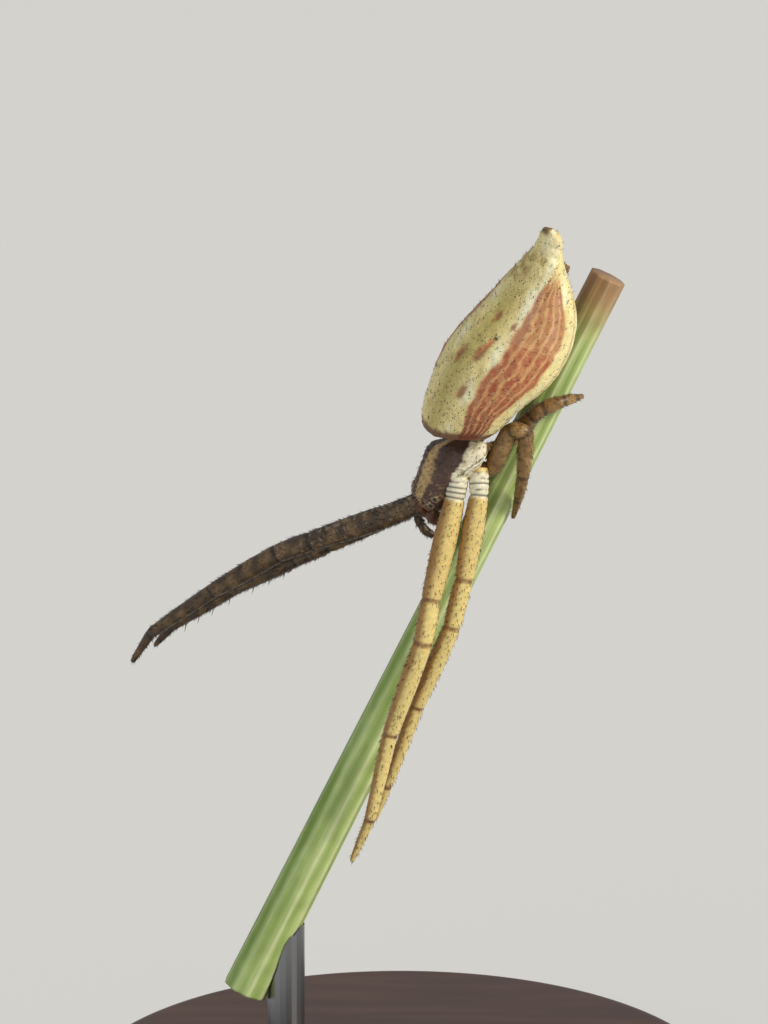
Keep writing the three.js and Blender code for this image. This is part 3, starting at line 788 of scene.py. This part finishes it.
def mouthparts(shell, s):
    jaw_girth = smooth((0, 0.15), (0.3, 0.22), (0.65, 0.2), (0.92, 0.13), (1, 0.05))
    for n, (side, hand) in enumerate((("left", 1), ("right", -1))):
        tile = (0.6 + 0.1 * n, 0.25, 0.7 + 0.1 * n, 0.35)
        # Feelers in the right legs' brown and jaws in dark brown: partly their own colour, partly painted
        # shade under the head
        limb(shell, PALPS[side], palp_girth, 20, (s.leg_brown_and_shade, "a98555", 0.5), 61 + n, 0, tile, 0.4, 1.0)
        top = jaw_point(hand, -0.22, 0.27, 0.02)
        front = jaw_point(hand, 0.02, 0.27, -0.1)
        low = jaw_point(hand, 0.1, 0.25, -0.86)
        corners = [top, front, (front + low) / 2 + [0.03, 0, 0], low]
        tile = (0.8 + 0.1 * n, 0.25, 0.9 + 0.1 * n, 0.35)
        limb(shell, corners, jaw_girth, 22, ("54301a", s.face, 0.6), 65, 0.4, tile, 0.25, 0.6)


def spinnerets(shell):
    foot = abdomen_surface(np.array(0.82), np.array(-math.pi / 2)) + [0, 0, -0.02]
    t = np.linspace(0, 1, 16)
    girth = 0.085 * (1 - 0.35 * t) * np.sqrt(1 - 0.9 * ramp(t, 0.85, 1.02))
    for across in (-1, 0, 1):
        for behind in (0, 1):
            start = foot + [0.04 - 0.12 * behind, 0.1 * across, 0.1]
            tip = foot + [-0.14 - 0.12 * behind, 0.12 * across, -0.28 + 0.06 * behind]
            rings, _, _ = tube(np.linspace(start, tip, 16), girth, 12)
            spot = 0.6 + 0.05 * (across + 1) + 0.15 * behind
            shell.grid(rings, (spot, 0.36, spot + 0.04, 0.4), linear("8f6a3c"), 0.2, 0.6)


# Materials


def node(tree, kind, inputs=None, **values):
    """Adds a node. inputs maps an input's name or number to a value, or to the socket that feeds it."""
    made = tree.nodes.new(kind)
    for key, value in values.items():
        setattr(made, key, value)
    for key, value in (inputs or {}).items():
        if isinstance(value, bpy.types.NodeSocket):
            tree.links.new(value, made.inputs[key])
        else:
            made.inputs[key].default_value = value
    return made


def finish(name, **constants):
    """A new material, its node tree and its surface shader with those constants."""
    material = bpy.data.materials.new(name)
    material.use_nodes = True
    shader = material.node_tree.nodes["Principled BSDF"]
    for key, value in constants.items():
        shader.inputs[key.replace("_", " ")].default_value = value
    return material, material.node_tree, shader


def per(size):
    """Scale of a texture whose features are that many mm, on coordinates in metres."""
    return 1 / (size * MM)


def rgba(colour):
    return (*colour, 1)


def maths(tree, operation, a, b):
    return node(tree, "ShaderNodeMath", {0: a, 1: b}, operation=operation).outputs[0]


def vectors(tree, operation, a, b, socket=1):
    """Two vectors combined, or a vector and a number where socket is "Scale"."""
    return node(tree, "ShaderNodeVectorMath", {0: a, socket: b}, operation=operation).outputs[0]


def noise(tree, vector, scale, detail=2.0):
    return node(tree, "ShaderNodeTexNoise", {"Vector": vector, "Scale": scale, "Detail": detail}).outputs


def marked(tree, name):
    """Outputs of the node that reads one of the mesh's own markings."""
    return node(tree, "ShaderNodeAttribute", attribute_name=name).outputs


def object_place(tree):
    return node(tree, "ShaderNodeTexCoord").outputs["Object"]


def grained(tree, shader, ground, height, strength, depth):
    """Gives the shader its colour and a fine relief that deep, in metres."""
    tree.links.new(ground, shader.inputs["Base Color"])
    relief = node(tree, "ShaderNodeBump", {"Height": height, "Strength": strength, "Distance": depth})
    tree.links.new(relief.outputs["Normal"], shader.inputs["Normal"])


def scaled_colour(tree, colour, low, high, factor):
    """colour times a number between low and high as factor goes from 0 to 1."""
    gain = node(tree, "ShaderNodeMapRange", {"Value": factor, "To Min": low, "To Max": high})
    return vectors(tree, "MULTIPLY", colour, gain.outputs["Result"])


def skin_material():
    """Thin, satin skin of a living spider: markings from the mesh, fine grain and black specks from noise."""
    material, tree, shader = finish(
        "living_chitin",
        Roughness=0.46,
        Subsurface_Weight=0.12,
        Subsurface_Scale=0.2 * MM,
        Coat_Weight=0.06,
        Coat_Roughness=0.3,
    )
    place_in = object_place(tree)
    tint, density = marked(tree, "tint")["Color"], marked(tree, "speck")["Fac"]
    grain = noise(tree, place_in, per(0.07), 3.0)["Fac"]
    ground = scaled_colour(tree, tint, 0.72, 1.28, grain)
    warp = noise(tree, place_in, per(0.05))["Color"]
    jittered = vectors(tree, "ADD", place_in, vectors(tree, "SCALE", warp, 0.04 * MM, "Scale"))
    # Specks: a random share of small cells holds a dark dot each, larger ones and fine ones.
    for spacing, radius in ((0.115, 0.22), (0.06, 0.24)):
        cells = node(tree, "ShaderNodeTexVoronoi", {"Vector": jittered, "Scale": per(spacing)}).outputs
        dot = maths(tree, "LESS_THAN", cells["Distance"], radius)
        pick = node(tree, "ShaderNodeSeparateColor", {"Color": cells["Color"]}).outputs[0]
        there = maths(tree, "MULTIPLY", dot, maths(tree, "LESS_THAN", pick, density))
        ground = mixed(tree, maths(tree, "MULTIPLY", there, 0.8), ground, rgba(linear("2a1a10")))
    grained(tree, shader, ground, grain, 0.35, 0.02 * MM)
    return material


def mixed(tree, factor, a, b):
    """Colour a going to colour b by a factor socket."""
    made = tree.nodes.new("ShaderNodeMix")
    made.data_type = "RGBA"
    tree.links.new(factor, made.inputs["Factor"])
    for value, name in ((a, "A"), (b, "B")):
        socket = next(i for i in made.inputs if i.name == name and i.type == "RGBA")
        if isinstance(value, bpy.types.NodeSocket):
            tree.links.new(value, socket)
        else:
            socket.default_value = value
    return next(o for o in made.outputs if o.type == "RGBA")


def plain_material(name, colour, **constants):
    material, _, shader = finish(name, **constants)
    shader.inputs["Base Color"].default_value = rgba(colour)
    return material


def stem_material():
    """Living grass stem, satin: colours from the mesh, with fine fibres that run lengthwise."""
    material, tree, shader = finish(
        "grass_stem", Roughness=0.42, Subsurface_Weight=0.15, Subsurface_Scale=0.3 * MM
    )
    unwrap = node(tree, "ShaderNodeUVMap", uv_map="OFBake").outputs["UV"]
    stretched = node(tree, "ShaderNodeMapping", {"Vector": unwrap, "Scale": (160, 24, 1)}).outputs[0]
    fibre = noise(tree, stretched, 1.0, 3.0)["Fac"]
    ground = scaled_colour(tree, marked(tree, "tint")["Color"], 0.72, 1.25, fibre)
    grained(tree, shader, ground, fibre, 0.5, 0.04 * MM)
    return material


def wood_material(s):
    """Dark stained hardwood, oiled: grain stretched along X."""
    material, tree, shader = finish("oiled_dark_wood", Roughness=0.42)
    place_in = object_place(tree)
    stretched = node(tree, "ShaderNodeMapping", {"Vector": place_in, "Scale": (0.12, 1, 1)}).outputs[0]
    dark, light = (rgba(tuple(c * gain for c in s.wood)) for gain in (0.45, 1.6))
    ground = mixed(tree, noise(tree, stretched, per(0.6), 4.0)["Fac"], dark, light)
    tree.links.new(ground, shader.inputs["Base Color"])
    return material


# Operators


class SpiderOperator(bpy.types.Operator):
    """Shared by the operators below."""

    bl_options = {"REGISTER"}

    def execute(self, context):
        self.build(context.scene.spider)
        return {"FINISHED"}


class OBJECT_OT_spider_skin(SpiderOperator):
    """Builds the skin of the whole body, with its markings, in place of the nodes of flesh"""

    bl_idname = "object.spider_skin"
    bl_label = "Spider skin"

    def build(self, s):
        shell = Shell()
        abdomen(shell, s)
        front_body(shell, s)
        waist(shell, s)
        for n, name in enumerate(LEGS):
            leg(shell, s, name, (0.12 * n, 0.52, 0.12 * n + 0.11, 1))
        mouthparts(shell, s)
        spinnerets(shell)
        skin = shell.object("spider_skin", skin_material())
        flesh = ["abdomen", "waist", "front_body", "spinnerets"]
        flesh += [f"{part}_{side}" for part in ("chelicera", "palp") for side in ("left", "right")]
        flesh += [f"leg_{name}_{segment}" for name in LEGS for segment in SEGMENTS]
        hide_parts(*flesh)


class OBJECT_OT_spider_eyes(SpiderOperator):
    """Builds the eight eyes"""

    bl_idname = "object.spider_eyes"
    bl_label = "Spider eyes"

    def build(self, s):
        forms = []
        rows, cols = 24, 32
        for centre, _, radius in eye_list():
            tilt, turn = around(np.linspace(0.02, math.pi - 0.02, rows), cols)
            ball = np.stack([np.sin(tilt) * np.cos(turn), np.sin(tilt) * np.sin(turn), -np.cos(tilt)], -1)
            forms.append(((centre + ball * radius).reshape(-1, 3), ring_faces(rows, cols)))
        # Smooth black lens, as glossy as glass
        eyes = joined(forms, "spider_eyes", plain_material("wet_black_lens", s.eye, Roughness=0.12))
        corners = itertools.product(("front", "back"), ("middle", "side"), ("left", "right"))
        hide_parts(*("_".join(("eye", *corner)) for corner in corners))


class OBJECT_OT_spider_spines(SpiderOperator):
    """Builds the spines under the long legs, the claws at every foot and the fangs"""

    bl_idname = "object.spider_spines"
    bl_label = "Spider spines and claws"

    def build(self, s):
        rng = np.random.default_rng(s.seed)
        spines, claws = [], []
        for size, kind, hand, joints in LEGS.values():
            joints = np.array(joints)
            if kind != OLIVE:
                for segment, pairs in (("tibia", 3), ("metatarsus", 4)):
                    spines += self.spines_under(s, rng, joints, segment, pairs, hand, size)
            claws += self.claws(joints[4], joints[5], size)
        # Horn-like spines, dark and satin
        joined(spines, "leg_spines", plain_material("dark_spine", s.bristle, Roughness=0.35))
        for hand in (-1, 1):
            low = jaw_point(hand, 0.1, 0.25, -0.82)
            tip = jaw_point(hand, -0.06, 0.08, -1.02)
            claws.append(horn(low, tip, 0.06, np.array([0.05, hand * 0.03, -0.04]), 10, 10))
        # Hard, polished horn
        joined(claws, "claws_and_fangs", plain_material("polished_claw", linear("2b160c"), Roughness=0.18))

    def spines_under(self, s, rng, joints, segment, pairs, hand, size):
        k = SEGMENTS.index(segment)
        a, b = joints[k], joints[k + 1]
        along = unit(b - a)
        side = unit(np.cross([0, 0, 1], along))
        under = unit(np.cross(side, along) - side * hand * 0.9)
        across = np.cross(under, along)
        radius = GIRTHS[segment][1] * size
        found = []
        for n in range(pairs):
            for row in (-1, 1):
                out = unit(under + across * row * 0.5)
                share = (n + 0.8 + rng.uniform(-0.08, 0.08)) / (pairs + 0.6)
                root = a + (b - a) * share + out * radius * 0.6
                reach = s.spine_length / MM * rng.uniform(0.85, 1.05)
                found.append(horn(root, root + out * reach * 0.62 + along * reach * 0.66, 0.02, out * 0.03))
        return found

    def claws(self, before, tip, size):
        along = unit(tip - before)
        side = unit(np.cross(along, [0.3, 0.2, 1.0]))
        down = np.cross(along, side)
        down = -down if down[2] >= 0 else down
        roots = (tip - along * 0.1 + side * hand * 0.035 * size for hand in (-1, 1))
        reach = along * 0.13 * size + down * 0.09 * size
        return [horn(root, root + reach, 0.02 * size, along * 0.03) for root in roots]


def stored(tree, geometry, name, value, kind="FLOAT_VECTOR", domain="POINT"):
    """Geometry with a value kept on it under a name."""
    inputs = {"Geometry": geometry, "Name": name, "Value": value}
    return node(tree, "GeometryNodeStoreNamedAttribute", inputs, data_type=kind, domain=domain).outputs[0]


TUFT_PATCH = 0.003  # of the unwrap, for each bristle


def bristle_nodes():
    """Geometry nodes that root tapered bristles at random spots of a mesh, leaning along its "lean"."""
    tree = bpy.data.node_groups.new("bristles", "GeometryNodeTree")
    face = tree.interface
    face.new_socket("Geometry", in_out="INPUT", socket_type="NodeSocketGeometry")
    for label in ("Density", "Length", "Width", "Lean"):
        face.new_socket(label, in_out="INPUT", socket_type="NodeSocketFloat")
    face.new_socket("Seed", in_out="INPUT", socket_type="NodeSocketInt")
    face.new_socket("Material", in_out="INPUT", socket_type="NodeSocketMaterial")
    face.new_socket("Geometry", in_out="OUTPUT", socket_type="NodeSocketGeometry")
    given = node(tree, "NodeGroupInput").outputs

    def attribute(name, kind="FLOAT"):
        made = node(tree, "GeometryNodeInputNamedAttribute", {"Name": name}, data_type=kind)
        return next(o for o in made.outputs if o.enabled)

    def scaled(vector, by):
        return vectors(tree, "SCALE", vector, by, "Scale")

    # Roots, with their spot on the unwrap
    density = maths(tree, "MULTIPLY", given["Density"], attribute("hair"))
    spread = node(
        tree,
        "GeometryNodeDistributePointsOnFaces",
        {"Mesh": given["Geometry"], "Density": density, "Seed": given["Seed"]},
    ).outputs
    roots = stored(tree, spread["Points"], "root", attribute("OFBake", "FLOAT_VECTOR"))
    roots = node(tree, "GeometryNodeRemoveAttribute", {"Geometry": roots, "Name": "OFBake"}).outputs[0]
    # One bristle: a three-sided cone with its own small unwrap
    cone = node(
        tree,
        "GeometryNodeMeshCone",
        {"Vertices": 3, "Side Segments": 1, "Radius Top": 0.0, "Radius Bottom": 1.0, "Depth": 1.0},
        fill_type="NGON",
    ).outputs
    strand = stored(tree, cone["Mesh"], "strand", cone["UV Map"], domain="CORNER")
    way = vectors(tree, "ADD", spread["Normal"], scaled(attribute("lean", "FLOAT_VECTOR"), given["Lean"]))
    rotation = node(tree, "FunctionNodeAlignRotationToVector", {"Vector": way}, axis="Z").outputs[0]
    luck = node(
        tree, "FunctionNodeRandomValue", {"Min": 0.55, "Max": 1.25, "Seed": given["Seed"]}, data_type="FLOAT"
    )
    chance = next(o for o in luck.outputs if o.enabled)
    tall = maths(tree, "MULTIPLY", given["Length"], chance)
    wide = given["Width"]
    size = node(tree, "ShaderNodeCombineXYZ", {"X": wide, "Y": wide, "Z": tall}).outputs[0]
    many = node(
        tree,
        "GeometryNodeInstanceOnPoints",
        {"Points": roots, "Instance": strand, "Rotation": rotation, "Scale": size},
    )
    real = node(tree, "GeometryNodeRealizeInstances", {"Geometry": many.outputs[0]}).outputs[0]
    strand_spot = scaled(attribute("strand", "FLOAT_VECTOR"), TUFT_PATCH)
    patch = vectors(tree, "ADD", attribute("root", "FLOAT_VECTOR"), strand_spot)
    unwrapped = stored(tree, real, "OFBake", patch, "FLOAT2", "CORNER")
    dressed = node(tree, "GeometryNodeSetMaterial", {"Geometry": unwrapped, "Material": given["Material"]})
    node(tree, "NodeGroupOutput", {"Geometry": dressed.outputs[0]})
    return tree


class OBJECT_OT_spider_bristles(SpiderOperator):
    """Roots short bristles all over the skin, densest on the dark legs, the head and the feelers"""

    bl_idname = "object.spider_bristles"
    bl_label = "Spider bristles"

    def build(self, s):
        skin = bpy.data.objects["spider_skin"]
        source = added("bristle_source", skin.data.copy())
        # Fine dark bristles, satin
        material = plain_material("fine_bristle", s.bristle, Roughness=0.5)
        group = bristle_nodes()
        modifier = source.modifiers.new("bristles", "NODES")
        modifier.node_group = group
        values = {
            "Density": s.bristle_count / MM**2,
            "Length": s.bristle_length,
            "Width": s.bristle_width,
            "Lean": 1.5,
            "Seed": s.seed,
            "Material": material,
        }
        for item in group.interface.items_tree:
            if item.in_out == "INPUT" and item.name in values:
                modifier[item.identifier] = values[item.name]
        bpy.context.view_layer.update()
        mesh = bpy.data.meshes.new_from_object(source.evaluated_get(bpy.context.evaluated_depsgraph_get()))
        bpy.data.objects.remove(source)
        if len(mesh.polygons) == 0:
            raise RuntimeError("no bristles were rooted")
        finished(mesh, "bristles", material)


class OBJECT_OT_perch_stem(SpiderOperator):
    """Builds the cut grass stem with its ribs, sheath edge and flush of red"""

    bl_idname = "object.perch_stem"
    bl_label = "Perch stem"

    def build(self, s):
        rows, cols = 420, 108
        top, cut, thin, thick, ribs = -6.6, 19.4, 0.58, 0.72, 9
        share, turn = around(np.linspace(0, 1, rows), cols)
        along = top + (cut - top) * share
        radius = thin + (thick - thin) * share
        ridge = 0.5 + 0.5 * np.cos(turn * ribs)
        fine = 0.5 + 0.5 * np.cos(turn * ribs * 3 + 0.8)
        radius = radius - 0.03 * (1 - ridge) ** 1.5 - 0.008 * fine
        rings = np.stack([along, radius * np.cos(turn), radius * np.sin(turn)], -1)
        # Side that the light falls on, seen from the front: towards +Y of the stem's frame. That side is
        # painted paler and the far side painted in shade.
        lit = np.cos(turn - math.radians(10))
        pale = 0.15 + 0.5 * ridge + 0.35 * lit + 0.25 * waver(rings * [0.2, 2, 2], 1.0, 71)
        tint = mix(s.stem_green, s.stem_light, np.clip(pale, 0, 1))
        # Painted highlights on the ribs of the lit side
        tint = mix(tint, "e3e9b8", ramp(ridge, 0.8, 1) * ramp(lit, 0.2, 0.9) * 0.6)
        # The free edge of the sheath winds slowly down the shaded side, with a small torn notch. It is a
        # slight ridge, with a line of painted shade just past it and a painted highlight along it.
        edge = math.radians(118) + 0.25 * np.sin(share * 5) + 0.9 * (share - 0.6)
        notch = 0.16 * bump(share, 0.78, 0.012)
        gap = (turn - edge - notch + math.pi) % (2 * math.pi) - math.pi
        below = share > 0.28
        tint = mix(tint, "3f5c1c", bump(gap, 0.05, 0.06) * below * 0.85)
        tint = mix(tint, "e8edc6", bump(gap, -0.04, 0.05) * below * 0.6)
        radius = radius + 0.022 * ramp(-gap, -0.02, 0.04) * (gap < 0) * (gap > -1.2) * below * (1 + gap / 1.2)
        tint = mix(tint, s.stem_red, (1 - ramp(along, top + 0.3, top + 2.6)) * 0.75)
        tint = tint * (1 + 0.06 * waver(rings * [0.5, 1, 1], 0.4, 72))[..., None]
        rings = np.stack([along, radius * np.cos(turn), radius * np.sin(turn)], -1)
        shell = Shell()
        shell.grid(rings, (0, 0, 1, 1), tint)
        stem = shell.object("grass_perch", stem_material())
        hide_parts("perch_stem")


class OBJECT_OT_stand(SpiderOperator):
    """Gives the plain base and rod their finishes"""

    bl_idname = "object.plain_stand"
    bl_label = "Plain stand"

    def build(self, s):
        # A turned disc with softly rounded edges
        radius, thickness, edge, cols = 10.49, 2.99, 0.5, 192
        bend = np.linspace(0, math.pi / 2, 9)
        low = np.stack([radius - edge + edge * np.sin(bend), edge - edge * np.cos(bend) + 0.01], -1)
        high = np.stack([radius - edge + edge * np.cos(bend), thickness - edge + edge * np.sin(bend)], -1)
        flat = radius - edge - np.array([1.5, 0.1])
        profile = np.concatenate(
            [[(flat[0], 0.01), (flat[1], 0.01)], low, high, [(flat[1], thickness), (flat[0], thickness)]]
        )
        across, turn = around(profile[:, 0], cols)
        up, _ = around(profile[:, 1], cols)
        points = np.stack([across * np.cos(turn), across * np.sin(turn), up], -1).reshape(-1, 3) * MM
        mesh = bpy.data.meshes.new("turned_base")
        mesh.from_pydata(points.tolist(), [], ring_faces(len(profile), cols))
        base = finished(mesh, "turned_base", wood_material(s))
        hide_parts("stand_base")
        # Fine brushed steel
        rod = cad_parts["stand_rod"]
        rod.data.materials.clear()
        rod.data.materials.append(plain_material("brushed_steel", s.steel, Roughness=0.32, Metallic=1.0))


class OBJECT_OT_studio(SpiderOperator):
    """Sets up the pale floor, the soft lights and the camera"""

    bl_idname = "object.spider_studio"
    bl_label = "Studio"

    def build(self, s):
        scene = bpy.context.scene
        # Matt pale paper
        paper = plain_material("pale_paper", s.floor, Roughness=0.9)
        reach = 2.0
        corners = [(-reach, -reach, 0), (reach, -reach, 0), (reach, reach, 0), (-reach, reach, 0)]
        mesh = bpy.data.meshes.new("floor")
        mesh.from_pydata(corners, [], [(0, 1, 2, 3)])
        mesh.materials.append(paper)
        added("floor", mesh)
        world = bpy.data.worlds.new("studio_air")
        world.use_nodes = True
        air = world.node_tree.nodes["Background"].inputs
        air["Color"].default_value = (0.86, 0.92, 1, 1)
        air["Strength"].default_value = 0.42
        scene.world = world
        for name, towards, energy, spread, colour in (
            ("key", (0.82, -0.42, 0.62), 2.5, 14, (1, 0.95, 0.85)),
            ("fill", (-0.7, -0.8, 0.5), 0.35, 60, (0.88, 0.94, 1)),
        ):
            light = bpy.data.lights.new(name, "SUN")
            light.energy = energy
            light.angle = math.radians(spread)
            light.color = colour
            added(name, light).rotation_euler = Vector(towards).to_track_quat("Z", "Y").to_euler()
        lens = bpy.data.cameras.new("camera")
        lens.lens = s.camera_lens
        lens.sensor_width = 36
        lens.clip_start = 0.01
        camera = added("camera", lens)
        # The picture's middle, to the left of the waist and a little below it, and the camera's distance
        middle, lower, away, tilt = np.array([4.053, 0, 0]), 1.5625, 178, math.radians(15)
        look = np.array([0, math.cos(tilt), -math.sin(tilt)])
        up = np.array([0, math.sin(tilt), math.cos(tilt)])
        camera.location = (WAIST - middle - up * lower - look * away) * MM
        camera.rotation_euler = (math.radians(90) - tilt, 0, 0)
        scene.camera = camera
        scene.view_settings.view_transform = "Standard"


class VIEW3D_PT_spider(bpy.types.Panel):
    """Sizes, colours and build steps of the spider."""

    bl_label = "Spider"
    bl_space_type = "VIEW_3D"
    bl_region_type = "UI"
    bl_category = "Spider"

    def draw(self, context):
        for name in SpiderSettings.__annotations__:
            self.layout.prop(context.scene.spider, name)
        for step in STEPS:
            self.layout.operator(step.bl_idname)


STEPS = (
    OBJECT_OT_spider_skin,
    OBJECT_OT_spider_eyes,
    OBJECT_OT_spider_spines,
    OBJECT_OT_spider_bristles,
    OBJECT_OT_perch_stem,
    OBJECT_OT_stand,
    OBJECT_OT_studio,
)
CLASSES = (SpiderSettings, *STEPS, VIEW3D_PT_spider)


def register():
    for item in CLASSES:
        bpy.utils.register_class(item)
    bpy.types.Scene.spider = bpy.props.PointerProperty(type=SpiderSettings)


def unregister():
    del bpy.types.Scene.spider
    for item in reversed(CLASSES):
        bpy.utils.unregister_class(item)


def main():
    register()
    bpy.ops.object.spider_skin()
    bpy.ops.object.spider_eyes()
    bpy.ops.object.spider_spines()
    bpy.ops.object.spider_bristles()
    bpy.ops.object.perch_stem()
    bpy.ops.object.plain_stand()
    bpy.ops.object.spider_studio()


if __name__ == "__main__":
    main()
